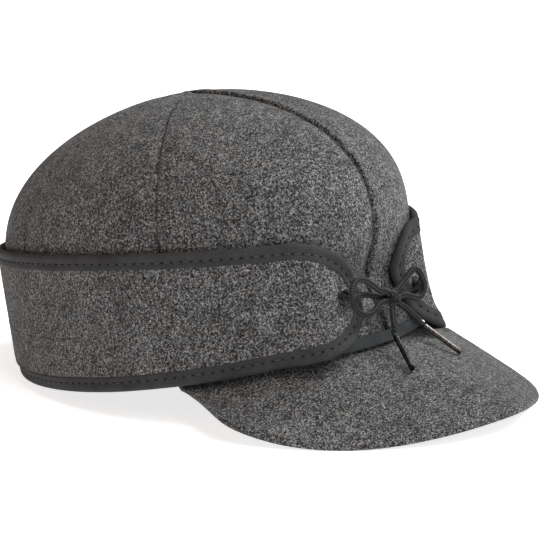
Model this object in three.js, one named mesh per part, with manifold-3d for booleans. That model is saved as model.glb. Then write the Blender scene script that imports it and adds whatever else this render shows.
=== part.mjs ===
// Wool cap with an ear band folded up around the crown and tied over a short stiff visor.
// Millimetres. Each shape is worked out in the wearer's frame: forward, left, and up from the crown's
// front hem. Headings are degrees from the front, positive towards the wearer's left.
import * as THREE from 'three';
import Module from 'manifold-3d';

const wasm = await Module();
wasm.setup();

const GAP = 0.3;
const rad = THREE.MathUtils.degToRad;
const { clamp } = THREE.MathUtils;

// Driving dimensions
const LEAN = 8.44; // the cap lies on its back hem and visor corners, so its front is tipped up, degrees
const REST_UP = 16.1; // lift that sets the settled cap on its surface
const CLOTH = 2.5;

const CROWN = {
  halfLength: 105,
  halfWidth: 85,
  wallHeight: 49.7, // height where the dome starts, and how much more it is at the front
  wallFrontRise: 5.85,
  top: 123.2,
  bulge: 0.013,
  roundness: 1.196,
  frontRoundness: -0.1,
  topRoundness: 0.806,
  topForward: 1,
  lastRing: 89.2, // dome angle where the six points meet, degrees
};

// The crown's front is drawn in where the knot pulls on it
const DENT = { depth: 8.7, height: 30, tall: 16, wide: 20 };

const SEAMS = [
  { panel: 'crown_panel_front_left', from: 0, to: 67.6 },
  { panel: 'crown_panel_side_left', from: 67.6, to: 118 },
  { panel: 'crown_panel_back_left', from: 118, to: 180 },
  { panel: 'crown_panel_back_right', from: -180, to: -118 },
  { panel: 'crown_panel_side_right', from: -118, to: -67.6 },
  { panel: 'crown_panel_front_right', from: -67.6, to: 0 },
];

const HEM = { followBand: 15, meetBand: 37, backFrom: 86, backTo: 108, backRise: 9 };

// Heights of the band's edges: mean, then the parts that vary once and twice around the head
const BAND_TOP = { mean: 58.2, once: -1.55, twice: -2.02 };
const BAND_BOTTOM = { mean: -0.8, once: -0.665, twice: 3.6 };
const BACK_SAG = { depth: 4.47, from: 68.7, to: 144.7 };

const BAND = {
  thickness: 2.6,
  seat: 2.8, // from the crown's ellipse to the middle of the band's cloth, at the hem
  seatRise: 0.7,
  seatHeight: 50,
};

// The band's two front ends. Each rounds off from its side heading to its tip, stands off the crown,
// and is drawn back in at the tip by the lace. The left end droops and its upper edge falls away.
const RIGHT_END = {
  from: 37, tip: 9.3, drop: 4, topFall: 0, sag: 0, turnPower: 1, risePower: 1,
  flareTop: 2, flareLow: 9, flarePower: 2, flareFrom: 42, flareFull: 24,
  tuck: 11, tuckFrom: 28, tuckTo: 9,
};
const LEFT_END = {
  from: 38.2, tip: 9.6, drop: -3.84, topFall: 3.62, sag: 7.7, turnPower: 0.32, risePower: 1.81,
  flareTop: 3.02, flareLow: 9.9, flarePower: 2.36, flareFrom: 28.24, flareFull: 21.36,
  tuck: 13.07, tuckFrom: 24.07, tuckTo: 9.87,
};
const TOP_FALL = { from: 90, to: 40 };

const HEM_ROOM = { out: 1.1, below: 12, fade: 8, sideFrom: 80, sideTo: 95 };
const CURL = { depth: 2.1, height: 5.4, from: 85, to: 115 };

const BINDING = { width: 7.5, thickness: 3.6, round: 1.1 };

const VISOR = {
  thickness: 3.3,
  rootHeading: 68,
  sideForward: 73, // where the edge is widest, and how far the tip lies in front of the head's centre
  tipForward: 172.2,
  halfWidth: 91.5,
  squareness: 1.68,
  backReach: 52.5,
  endAngle: 96,
  endFrom: 0.96,
  thinFrom: 0.86,
  endThinning: 0.65,
  slope: 0.797, // the edge falls away from the hem's line, then levels out
  levelling: 0.0034,
  levelFrom: 32.1,
  levelHeight: 13.65,
  sideDrop: 1.37,
};

const TAPE = { thickness: 1, height: 5.5, heading: 74 };

const EYELET = { heading: 18.4, rightHeight: 26.5, leftHeight: 21.5, hole: 4.4, barrel: 5.4, flange: 8, lip: 0.6, seat: 0.4 };

const LACE = { diameter: 2.8, sides: 8, insideEyelet: 2, outsideEyelet: 2.6 };
const KNOT = { forward: 109, left: 0.7, up: 20.9, halfForward: 3.2, halfLeft: 4.3, halfUp: 3.8 };
const AGLET = { diameter: 2.8, sides: 14 };

// Routes of the lace, each point as forward, left, up
const RIGHT_RUN = [[107.3, -26.9, 26.6], [107.4, -24, 26.5], [106.2, -20, 26], [106.2, -14, 25], [106.1, -9, 23.4], [106.2, -2.6, 21.6]];
const LEFT_RUN = [[107.3, 26.9, 21.2], [107.4, 24, 20.6], [106.2, 20, 19.4], [106.2, 14, 19.6], [106.1, 9, 20.4], [106.2, 4, 21]];
const RIGHT_LOOP = [
  [109.8, -2.6, 23.4], [109.8, -5.6, 24.9], [109.8, -9.3, 26], [109.8, -12.3, 28.2], [109.8, -15.6, 30.5],
  [109.8, -19.4, 32.7], [109.8, -22.9, 33.8], [110.2, -26.4, 33.5], [110.5, -29.4, 31.7], [110.8, -31, 29.1],
  [110.8, -31.1, 25.6], [110.5, -30, 22.5], [109.8, -26.7, 19.3], [109.8, -22.8, 17.3], [109.8, -17.8, 16.8],
  [109.6, -13.6, 18], [109.3, -10.2, 19.6], [109, -6.4, 20], [108.8, -2.8, 19.6],
];
const LEFT_LOOP = [
  [109.8, 3, 23.6], [109.8, 5.8, 24.9], [109.8, 9.2, 26.3], [109.8, 13.7, 28.6], [109.8, 17.2, 30.3],
  [109.8, 20, 30.4], [110.1, 22.4, 28], [110.6, 23.5, 24.6], [110.6, 24, 21], [109.8, 22.8, 18],
  [109.8, 19.6, 16.8], [109.8, 15.6, 17.6], [109.7, 11.6, 19.4], [109.5, 8, 20.2], [109.4, 4.2, 20],
];
const RIGHT_TAIL = [[110, -0.8, 19], [110.2, -1.8, 16.4], [110.8, -3.3, 12.3], [111.9, -4.4, 7], [112.8, -5.5, 3.2]];
const LEFT_TAIL = [[110, 2, 18.4], [110.1, 4.2, 16.6], [110.1, 6.8, 15], [110, 9.6, 13], [109.4, 13.8, 9.6], [108.7, 19, 5.6], [108.9, 22, 2.7]];
const RIGHT_AGLET_END = [126.7, -14.4, -9.9];
const LEFT_AGLET_END = [124.9, 26.6, -11.4];

// Colours
const WOOL = { color: 0x55565a, roughness: 0.95, metalness: 0 };
const TWILL = { color: 0x2f3032, roughness: 0.85, metalness: 0 };
const BRAID = { color: 0x1c1d1f, roughness: 0.7, metalness: 0 };
const BLACK_METAL = { color: 0x141416, roughness: 0.25, metalness: 1 };
const DARK_METAL = { color: 0x4a4541, roughness: 0.35, metalness: 1 };

// Small helpers
const smooth = (t) => THREE.MathUtils.smoothstep(t, 0, 1);
const waves = (row, heading) => row.mean + row.once * Math.cos(heading) + row.twice * Math.cos(2 * heading);
const degreesOff = (heading) => Math.abs(THREE.MathUtils.radToDeg(heading));
// Wearer's frame to the model's axes: left is +X, forward is -Y
const wearer = (forward, left, up) => new THREE.Vector3(left, -forward, up);
const points = (rows) => rows.map((row) => wearer(...row));

function wrap(heading) {
  if (heading > Math.PI) {
    return heading - 2 * Math.PI;
  }
  return heading;
}

// Nothing is lower than the surface that the settled cap lies on
function settled(point) {
  const lean = rad(LEAN);
  const lowest = (-REST_UP + point.y * Math.sin(lean)) / Math.cos(lean);
  if (point.z < lowest) {
    point.z = lowest;
  }
  return point;
}

// Mesh building
function geometryFrom(vertices, triangles) {
  const flat = triangles.filter(([a, b, c]) => {
    const ab = vertices[b].clone().sub(vertices[a]);
    const ac = vertices[c].clone().sub(vertices[a]);
    return ab.cross(ac).length() > 1e-7;
  });
  let volume = 0;
  for (const [a, b, c] of flat) {
    volume += vertices[a].dot(vertices[b].clone().cross(vertices[c]));
  }
  const index = flat.flatMap(([a, b, c]) => (volume > 0 ? [a, b, c] : [a, c, b]));
  const geometry = new THREE.BufferGeometry();
  geometry.setAttribute('position', new THREE.Float32BufferAttribute(vertices.flatMap((v) => v.toArray()), 3));
  geometry.setIndex(index);
  return geometry;
}

// Vertices that share a place become one, so that a sheet may narrow to a point
function mergedFrom(vertices, triangles) {
  const seen = new Map();
  const kept = [];
  const place = vertices.map((v) => {
    const key = v.toArray().map((value) => Math.round(value * 2000)).join();
    if (!seen.has(key)) {
      seen.set(key, kept.length);
      kept.push(v);
    }
    return seen.get(key);
  });
  const whole = triangles.map((corner) => corner.map((i) => place[i]))
    .filter(([a, b, c]) => a !== b && b !== c && c !== a);
  return geometryFrom(kept, whole);
}

// A sheet of cloth: an outer and an inner grid of points, walled round the edge
function sheet(outer, inner) {
  const rows = outer.length;
  const columns = outer[0].length;
  const vertices = [...outer.flat(), ...inner.flat()];
  const under = rows * columns;
  const at = (row, column) => row * columns + column;
  const triangles = [];
  for (let row = 0; row + 1 < rows; row += 1) {
    for (let column = 0; column + 1 < columns; column += 1) {
      const [a, b, c, d] = [at(row, column), at(row, column + 1), at(row + 1, column + 1), at(row + 1, column)];
      triangles.push([a, b, c], [a, c, d]);
      triangles.push([a + under, c + under, b + under], [a + under, d + under, c + under]);
    }
  }
  const edge = [];
  for (let column = 0; column < columns; column += 1) edge.push(at(0, column));
  for (let row = 1; row < rows; row += 1) edge.push(at(row, columns - 1));
  for (let column = columns - 2; column >= 0; column -= 1) edge.push(at(rows - 1, column));
  for (let row = rows - 2; row > 0; row -= 1) edge.push(at(row, 0));
  edge.forEach((a, i) => {
    const b = edge[(i + 1) % edge.length];
    triangles.push([a, b + under, b], [a, a + under, b + under]);
  });
  return mergedFrom(vertices, triangles);
}

// A row of closed sections, shut at both ends
function run(sections) {
  const around = sections[0].length;
  const last = (sections.length - 1) * around;
  const triangles = [];
  for (let i = 0; i < last; i += around) {
    for (let j = 0; j < around; j += 1) {
      const side = (j + 1) % around;
      triangles.push([i + j, i + around + j, i + around + side], [i + j, i + around + side, i + side]);
    }
  }
  for (let j = 1; j + 1 < around; j += 1) {
    triangles.push([0, j, j + 1], [last, last + j + 1, last + j]);
  }
  return mergedFrom(sections.flat(), triangles);
}

function solidOf(geometry) {
  const position = geometry.attributes.position.array;
  const mesh = new wasm.Mesh({
    numProp: 3,
    vertProperties: new Float32Array(position),
    triVerts: new Uint32Array(geometry.index.array),
  });
  return new wasm.Manifold(mesh);
}

function subtract(geometry, tool) {
  const mesh = solidOf(geometry).subtract(solidOf(tool)).getMesh();
  const result = new THREE.BufferGeometry();
  result.setAttribute('position', new THREE.Float32BufferAttribute(mesh.vertProperties, 3));
  result.setIndex([...mesh.triVerts]);
  return result;
}

// A three.js primitive as an indexed mesh with shared corners
function welded(geometry) {
  const source = geometry.index ? geometry.toNonIndexed() : geometry;
  const position = source.attributes.position;
  const vertices = [];
  const triangles = [];
  for (let i = 0; i < position.count; i += 1) {
    vertices.push(new THREE.Vector3().fromBufferAttribute(position, i));
    if (i % 3 === 2) triangles.push([i - 2, i - 1, i]);
  }
  return mergedFrom(vertices, triangles);
}

// Crown
const wallTop = (heading) => CROWN.wallHeight + CROWN.wallFrontRise * Math.cos(heading);

function hemHeight(heading) {
  const off = degreesOff(heading);
  const band = waves(BAND_BOTTOM, heading) * smooth((off - HEM.followBand) / (HEM.meetBand - HEM.followBand));
  return band + HEM.backRise * smooth((off - HEM.backFrom) / (HEM.backTo - HEM.backFrom));
}

function dent(heading, up) {
  const high = (up - DENT.height) / DENT.tall;
  const aside = THREE.MathUtils.radToDeg(heading) / DENT.wide;
  return DENT.depth * Math.exp(-high * high - aside * aside);
}

function crownWall(heading, up) {
  const scale = 1 + CROWN.bulge * smooth(up / wallTop(heading));
  const forward = scale * CROWN.halfLength * Math.cos(heading) - dent(heading, up);
  return wearer(forward, scale * CROWN.halfWidth * Math.sin(heading), up);
}

function crownDome(heading, angle) {
  const rise = Math.sin(angle) ** CROWN.topRoundness;
  const up = wallTop(heading) + (CROWN.top - wallTop(heading)) * rise;
  const roundness = CROWN.roundness + CROWN.frontRoundness * Math.cos(heading);
  const scale = (1 + CROWN.bulge) * Math.cos(angle) ** roundness;
  const forward = scale * CROWN.halfLength * Math.cos(heading) + CROWN.topForward * rise - dent(heading, up);
  return wearer(forward, scale * CROWN.halfWidth * Math.sin(heading), up);
}

// level runs from 0 at the hem to 1 where the dome starts and 2 at the top
function crownPoint(heading, level) {
  if (level <= 1) {
    const hem = hemHeight(heading);
    return crownWall(heading, hem + (wallTop(heading) - hem) * level);
  }
  return crownDome(heading, (level - 1) * rad(CROWN.lastRing));
}

function normalOf(surface, u, v, du, dv) {
  const across = surface(u + du, v).sub(surface(u - du, v));
  const along = surface(u, v + dv).sub(surface(u, v - dv));
  return across.cross(along).normalize();
}

function crownLayer(heading, level, depth) {
  const safe = clamp(level, 0.01, 1.985);
  const normal = normalOf(crownPoint, heading, safe, 0.01, 0.008);
  return crownPoint(heading, level).addScaledVector(normal, -depth);
}

const WALL_ROWS = 4;
const DOME_ROWS = 11;

function crownPanel({ from, to }) {
  const columns = 8;
  const outer = [];
  const inner = [];
  for (let row = 0; row <= WALL_ROWS + DOME_ROWS; row += 1) {
    const level = row <= WALL_ROWS ? row / WALL_ROWS : 1 + (row - WALL_ROWS) / DOME_ROWS;
    const middle = crownPoint(rad((from + to) / 2), level);
    const radius = Math.max(0.5, Math.hypot(middle.x, middle.y + CROWN.topForward));
    const seam = Math.min(GAP / 2 / radius, rad(to - from) * 0.3);
    const [start, end] = [rad(from) + seam, rad(to) - seam];
    const headings = Array.from({ length: columns + 1 }, (_, i) => start + ((end - start) * i) / columns);
    outer.push(headings.map((heading) => crownLayer(heading, level, 0)));
    inner.push(headings.map((heading) => crownLayer(heading, level, level > 1.97 ? CLOTH * 0.8 : CLOTH)));
  }
  return sheet(outer, inner);
}

// Tape over the seam where the visor joins the crown
function hemTape() {
  const columns = 30;
  const layer = (heading, up, out) => {
    const normal = normalOf(crownWall, heading, up, 0.01, 0.5);
    return crownWall(heading, up).addScaledVector(normal, out);
  };
  const rows = (out) => [GAP, GAP + TAPE.height].map((rise) => Array.from({ length: columns + 1 }, (_, i) => {
    const heading = rad(TAPE.heading) * ((2 * i) / columns - 1);
    return layer(heading, hemHeight(heading) + rise, out);
  }));
  return sheet(rows(GAP + TAPE.thickness), rows(GAP));
}

// Ear band
function topEdge(heading) {
  const off = degreesOff(heading);
  const fall = heading > 0 && off < 90 ? LEFT_END.topFall : 0;
  return waves(BAND_TOP, heading) - fall * smooth((TOP_FALL.from - off) / (TOP_FALL.from - TOP_FALL.to));
}

function bottomEdge(heading) {
  const sag = smooth((degreesOff(heading) - BACK_SAG.from) / (BACK_SAG.to - BACK_SAG.from));
  return waves(BAND_BOTTOM, heading) - BACK_SAG.depth * sag;
}

function bandOffset(heading, up) {
  const off = degreesOff(heading);
  const end = heading > 0 ? LEFT_END : RIGHT_END;
  const level = clamp(1 - up / BAND.seatHeight, 0, 1.3);
  const standing = smooth((end.flareFrom - off) / (end.flareFrom - end.flareFull));
  const flare = standing * (end.flareTop + (end.flareLow - end.flareTop) * level ** end.flarePower);
  const tuck = end.tuck * clamp((end.tuckFrom - off) / (end.tuckFrom - end.tuckTo), 0, 1.05) ** 1.2;
  const sides = 1 - smooth((off - HEM_ROOM.sideFrom) / (HEM_ROOM.sideTo - HEM_ROOM.sideFrom));
  const room = HEM_ROOM.out * sides * smooth((HEM_ROOM.below - up) / HEM_ROOM.fade);
  const aboveEdge = clamp(1 - (up - waves(BAND_BOTTOM, heading)) / CURL.height, 0, 1);
  const curl = CURL.depth * smooth((off - CURL.from) / (CURL.to - CURL.from)) * aboveEdge * aboveEdge;
  const lying = BAND.seat + BAND.seatRise * smooth(up / BAND.seatHeight) + flare + room - curl - tuck;
  if (off >= 45) {
    return lying;
  }
  // never closer to the crown than the binding's inner face allows
  const crown = CROWN.bulge * CROWN.halfLength * smooth(up / wallTop(heading)) - dent(heading, up) * Math.cos(heading);
  const closest = crown + BINDING.thickness / 2 + 0.65;
  return (lying + closest + Math.sqrt((lying - closest) ** 2 + 0.6)) / 2;
}

function bandPoint(heading, up, out = 0) {
  const offset = bandOffset(wrap(heading), up) + out;
  const forward = (CROWN.halfLength + offset) * Math.cos(heading);
  return settled(wearer(forward, (CROWN.halfWidth + offset) * Math.sin(heading), up));
}

// Spreads points evenly along a line of headings and heights
function evenly(line, steps) {
  const lengths = [0];
  line.slice(1).forEach((point, i) => {
    const across = (point.heading - line[i].heading) * CROWN.halfWidth;
    lengths.push(lengths[i] + Math.hypot(across, point.up - line[i].up));
  });
  return Array.from({ length: steps + 1 }, (_, k) => {
    const target = (lengths.at(-1) * k) / steps;
    const after = Math.max(1, lengths.findIndex((length) => length >= target - 1e-9));
    const share = (target - lengths[after - 1]) / (lengths[after] - lengths[after - 1]);
    const [a, b] = [line[after - 1], line[after]];
    return { heading: a.heading + (b.heading - a.heading) * share, up: a.up + (b.up - a.up) * share };
  });
}

// One front end of the band, from its top edge round its tip to its bottom edge
function noseLine(end, steps) {
  const from = rad(end.from);
  const tip = rad(end.tip);
  const [top, bottom] = [waves(BAND_TOP, from), waves(BAND_BOTTOM, from)];
  const place = (turn) => {
    const upper = turn < Math.PI / 2;
    const [swing, rise] = [Math.sin(turn), Math.cos(turn)];
    const around = upper ? swing ** end.turnPower : swing;
    const along = upper ? rise ** end.risePower : rise;
    const fall = upper ? end.topFall * rise : end.sag * Math.sin(2 * turn - Math.PI);
    const up = (top + bottom) / 2 + ((top - bottom) / 2) * along - end.drop * swing * swing - fall;
    return { heading: from - (from - tip) * around, up };
  };
  const fine = 240;
  const quarter = (start) => Array.from({ length: fine + 1 }, (_, i) => place(start + (Math.PI / 2) * (i / fine)));
  return [...evenly(quarter(0), steps), ...evenly(quarter(Math.PI / 2), steps).slice(1)];
}

// The band's edge as headings and heights, once round it: left end, top, right end, bottom
function bandEdge(noseSteps, sideSteps) {
  const leftEnd = noseLine(LEFT_END, noseSteps).reverse();
  const rightEnd = noseLine(RIGHT_END, noseSteps).map(({ heading, up }) => ({ heading: 2 * Math.PI - heading, up }));
  const [start, stop] = [rad(LEFT_END.from), 2 * Math.PI - rad(RIGHT_END.from)];
  const side = (edgeHeight) => Array.from({ length: sideSteps - 1 }, (_, i) => {
    const heading = start + ((stop - start) * (i + 1)) / sideSteps;
    return { heading, up: edgeHeight(wrap(heading)) };
  });
  return [...leftEnd, ...side(topEdge), ...rightEnd, ...side(bottomEdge).reverse()];
}

// Moves each edge point inwards over the band's surface
function insetEdge(edge, distance) {
  const reach = (heading) => Math.hypot(CROWN.halfLength * Math.sin(heading), CROWN.halfWidth * Math.cos(heading));
  return edge.map((point, i) => {
    const before = edge[(i + edge.length - 1) % edge.length];
    const after = edge[(i + 1) % edge.length];
    const radius = reach(point.heading);
    const along = new THREE.Vector2((after.heading - before.heading) * radius, after.up - before.up).normalize();
    return { heading: point.heading + (along.y * distance) / radius, up: point.up - along.x * distance };
  });
}

const NOSE_STEPS = 9;
const SIDE_STEPS = 34;

// The binding is two lengths of tape that meet at the tips of the band's ends
function bandBinding() {
  const { width, thickness, round } = BINDING;
  const half = thickness / 2;
  const section = [
    [0, -half + round], [0, half - round], [round, half], [width - round, half],
    [width, half - round], [width, -half + round], [width - round, -half], [round, -half],
  ];
  const edge = bandEdge(NOSE_STEPS, SIDE_STEPS);
  const tracks = section.map(([inset, out]) => insetEdge(edge, inset).map(({ heading, up }) => bandPoint(heading, up, out)));
  const sections = edge.map((_, i) => tracks.map((track) => track[i]));
  const leftTip = NOSE_STEPS;
  const rightTip = 3 * NOSE_STEPS + SIDE_STEPS;
  const upper = sections.slice(leftTip, rightTip + 1);
  const lower = [...sections.slice(rightTip), ...sections.slice(0, leftTip + 1)];
  return [upper, lower].map(parted);
}

// Draws each end of a length back by half the gap
function parted(sections) {
  const drawn = sections.map((section) => section.map((point) => point.clone()));
  for (const [end, inside] of [[0, 1], [sections.length - 1, sections.length - 2]]) {
    drawn[end].forEach((point, j) => {
      const step = sections[inside][j].clone().sub(point);
      point.add(step.setLength(Math.min(GAP / 2, step.length() / 2)));
    });
  }
  return run(drawn);
}

function earBand() {
  const edge = insetEdge(bandEdge(NOSE_STEPS, SIDE_STEPS), BINDING.width + GAP);
  const columns = 2 * NOSE_STEPS + SIDE_STEPS;
  const rowsUp = 5;
  const layer = (out) => Array.from({ length: columns + 1 }, (_, i) => {
    const top = edge[(NOSE_STEPS + i) % edge.length];
    const bottom = edge[(edge.length + NOSE_STEPS - i) % edge.length];
    return Array.from({ length: rowsUp + 1 }, (__, j) => {
      const share = j / rowsUp;
      const heading = bottom.heading + (top.heading - bottom.heading) * share;
      return bandPoint(heading, bottom.up + (top.up - bottom.up) * share, out);
    });
  });
  const holes = [eyeletPlace(-1), eyeletPlace(1)].map(({ centre, normal }) => {
    const drill = new THREE.CylinderGeometry(EYELET.barrel / 2 + GAP, EYELET.barrel / 2 + GAP, 12, 16);
    return lined(welded(drill), centre, normal);
  });
  return holes.reduce((band, hole) => subtract(band, hole), sheet(layer(BAND.thickness / 2), layer(-BAND.thickness / 2)));
}

// Eyelets
function eyeletPlace(side) {
  const heading = side * rad(EYELET.heading);
  const up = side > 0 ? EYELET.leftHeight : EYELET.rightHeight;
  const normal = normalOf((a, b) => bandPoint(a, b), heading, up, 0.02, 1);
  return { centre: bandPoint(heading, up), normal };
}

// Turns a shape made along +Y to a direction and moves it to a place
function lined(geometry, centre, direction) {
  const turn = new THREE.Quaternion().setFromUnitVectors(new THREE.Vector3(0, 1, 0), direction);
  return geometry.applyQuaternion(turn).translate(centre.x, centre.y, centre.z);
}

function eyelet(side) {
  const face = BAND.thickness / 2 + EYELET.seat;
  const [hole, barrel, flange] = [EYELET.hole / 2, EYELET.barrel / 2, EYELET.flange / 2];
  const profile = [
    [hole, -face - EYELET.lip], [flange - 0.3, -face - EYELET.lip], [flange, -face], [barrel, -face],
    [barrel, face], [flange, face], [flange - 0.3, face + EYELET.lip], [hole, face + EYELET.lip],
    [hole, -face - EYELET.lip],
  ];
  const spool = new THREE.LatheGeometry(profile.map(([r, y]) => new THREE.Vector2(r, y)), 18);
  const { centre, normal } = eyeletPlace(side);
  return lined(welded(spool), centre, normal);
}

// Visor
function visorRows(across, depthSteps, thickness) {
  const rows = [];
  for (let step = 0; step <= depthSteps; step += 1) {
    rows.push(Array.from({ length: across + 1 }, (_, i) => {
      const share = (2 * i) / across - 1;
      const thinned = 1 - VISOR.endThinning * smooth((Math.abs(share) - VISOR.thinFrom) / (1 - VISOR.thinFrom));
      const point = visorPoint(share, step / depthSteps);
      point.z -= thickness * thinned;
      return settled(point);
    }));
  }
  return rows;
}

// share runs from -1 to 1 across the visor, depth from 0 at its root to 1 at its edge
function visorPoint(share, depth) {
  const heading = share * rad(VISOR.rootHeading);
  const under = CLOTH * 0.96;
  const root = crownWall(heading, 0).add(wearer(-under * Math.cos(heading), -under * Math.sin(heading), 0));
  root.z = hemHeight(heading) - GAP;
  const angle = Math.abs(share) * rad(VISOR.endAngle);
  const power = 2 / VISOR.squareness;
  const reach = VISOR.tipForward - VISOR.sideForward;
  const swing = Math.cos(angle);
  const forward = VISOR.sideForward + (swing > 0 ? reach * swing ** power : VISOR.backReach * swing);
  const left = Math.sign(share) * VISOR.halfWidth * Math.sin(angle) ** power;
  const run = forward - VISOR.levelFrom;
  const up = VISOR.levelHeight - VISOR.slope * run + VISOR.levelling * run * run;
  const edge = wearer(forward, left, Math.min(up, root.z - 0.2));
  edge.lerp(root, 0.93 * smooth((Math.abs(share) - VISOR.endFrom) / (1 - VISOR.endFrom)));
  root.lerp(edge, depth);
  root.z -= VISOR.sideDrop * (root.x / VISOR.halfWidth) ** 2 * depth;
  return root;
}

function visor() {
  return sheet(visorRows(34, 7, 0), visorRows(34, 7, VISOR.thickness));
}

// Lace
function tube(route, diameter = LACE.diameter) {
  const curve = new THREE.CatmullRomCurve3(route);
  const outline = Array.from({ length: LACE.sides }, (_, i) => {
    const angle = (2 * Math.PI * (i + 0.5)) / LACE.sides;
    return new THREE.Vector2(Math.cos(angle), Math.sin(angle)).multiplyScalar(diameter / 2);
  });
  const steps = Math.max(3, Math.round(curve.getLength() / (2 * diameter)));
  const shape = new THREE.Shape(outline);
  return welded(new THREE.ExtrudeGeometry(shape, { extrudePath: curve, steps, bevelEnabled: false }));
}

function knotShape(room) {
  const ball = new THREE.SphereGeometry(1, 14, 10);
  ball.scale(KNOT.halfLeft + room, KNOT.halfForward + room, KNOT.halfUp + room);
  const centre = wearer(KNOT.forward, KNOT.left, KNOT.up);
  return welded(ball).translate(centre.x, centre.y, centre.z);
}

// Every strand that reaches the knot stops just short of it
function strand(route) {
  return subtract(tube(points(route)), knotShape(GAP));
}

function laceRun(side, route) {
  const { centre, normal } = eyeletPlace(side);
  const depths = [-LACE.insideEyelet, 0, LACE.outsideEyelet];
  const through = depths.map((out) => centre.clone().addScaledVector(normal, out));
  return subtract(tube([...through, ...points(route)]), knotShape(GAP));
}

// A tail runs straight into its aglet over the last stretch
function laceTail(route, tip) {
  const path = points(route);
  const top = path.at(-1);
  const lead = top.clone().sub(wearer(...tip)).setLength(LACE.diameter).add(top);
  path.splice(-1, 0, lead);
  return subtract(tube(path), knotShape(GAP));
}

function aglet(from, to) {
  const [top, tip] = [wearer(...from), wearer(...to)];
  const direction = top.clone().sub(tip).normalize();
  top.addScaledVector(direction, -GAP);
  const radius = AGLET.diameter / 2;
  const sleeve = new THREE.CylinderGeometry(radius, radius, top.distanceTo(tip), AGLET.sides);
  return lined(welded(sleeve), top.clone().add(tip).multiplyScalar(0.5), direction);
}

// Assembly
const cap = new THREE.Group();

function add(name, geometry, look) {
  const mesh = new THREE.Mesh(geometry, new THREE.MeshStandardMaterial(look));
  mesh.name = name;
  cap.add(mesh);
}

for (const seam of SEAMS) {
  add(seam.panel, crownPanel(seam), WOOL);
}
add('visor', visor(), WOOL);
add('hem_tape', hemTape(), TWILL);
add('ear_band', earBand(), WOOL);
const [upperBinding, lowerBinding] = bandBinding();
add('binding_upper', upperBinding, TWILL);
add('binding_lower', lowerBinding, TWILL);
add('eyelet_right', eyelet(-1), BLACK_METAL);
add('eyelet_left', eyelet(1), BLACK_METAL);
add('lace_right_run', laceRun(-1, RIGHT_RUN), BRAID);
add('lace_left_run', laceRun(1, LEFT_RUN), BRAID);
add('lace_right_loop', strand(RIGHT_LOOP), BRAID);
add('lace_left_loop', strand(LEFT_LOOP), BRAID);
add('lace_right_tail', laceTail(RIGHT_TAIL, RIGHT_AGLET_END), BRAID);
add('lace_left_tail', laceTail(LEFT_TAIL, LEFT_AGLET_END), BRAID);
add('lace_knot', knotShape(0), BRAID);
add('aglet_right', aglet(RIGHT_TAIL.at(-1), RIGHT_AGLET_END), DARK_METAL);
add('aglet_left', aglet(LEFT_TAIL.at(-1), LEFT_AGLET_END), DARK_METAL);

// The front tips up until the back hem and the visor's corners lie on the surface
cap.rotation.x = -rad(LEAN);
cap.position.z = REST_UP;
cap.updateMatrixWorld(true);
const size = new THREE.Box3().setFromObject(cap, true);
cap.position.y = -(size.min.y + size.max.y) / 2;

const group = new THREE.Group();
group.add(cap);

export default group;
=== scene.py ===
import bpy
import math
import numpy as np
from mathutils import Matrix, Vector


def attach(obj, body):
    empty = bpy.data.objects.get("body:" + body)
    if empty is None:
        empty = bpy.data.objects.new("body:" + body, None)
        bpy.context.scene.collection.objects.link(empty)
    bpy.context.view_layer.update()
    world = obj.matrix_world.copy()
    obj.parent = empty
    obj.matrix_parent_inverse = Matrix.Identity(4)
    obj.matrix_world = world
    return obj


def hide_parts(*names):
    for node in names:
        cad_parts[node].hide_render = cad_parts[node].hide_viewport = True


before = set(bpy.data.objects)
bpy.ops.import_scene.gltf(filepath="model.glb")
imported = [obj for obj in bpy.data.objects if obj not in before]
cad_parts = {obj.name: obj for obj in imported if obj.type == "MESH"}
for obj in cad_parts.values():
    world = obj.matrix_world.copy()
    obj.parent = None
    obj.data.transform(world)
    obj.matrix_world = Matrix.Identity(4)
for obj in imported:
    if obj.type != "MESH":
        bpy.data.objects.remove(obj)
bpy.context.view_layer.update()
scene = bpy.context.scene

# Shapes are worked out as forward, left and up of the wearer, in mm, from the crown's front hem.
# The settled cap lies on its back hem and visor corners, tipped up in front.
rest = {"lean": 8.44, "lift": 16.1, "shift": 28.9992}
leanSin, leanCos = math.sin(math.radians(rest["lean"])), math.cos(math.radians(rest["lean"]))


def toFrame(points):
    forward, left, up = np.moveaxis(np.asarray(points, float), -1, 0)
    back = -forward * leanCos + up * leanSin + rest["shift"]
    high = forward * leanSin + up * leanCos + rest["lift"]
    return np.stack([left, back, high], -1) / 1000


def settled(points):
    lowest = (-rest["lift"] - points[..., 0] * leanSin) / leanCos
    points[..., 2] = np.maximum(points[..., 2], lowest)
    return points


# Camera
cameraSizes = {
    "azimuth": -50.0808,
    "elevation": 12.554,
    "roll": -1.5362,
    "distance": 1.5,
    "target": (0, 0.029016, 0.081042),
    "pixels": 540,
    "focal": 3105,
    "aim": (53.845, -59.187),  # from the target's picture to the middle of the frame
}


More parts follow.
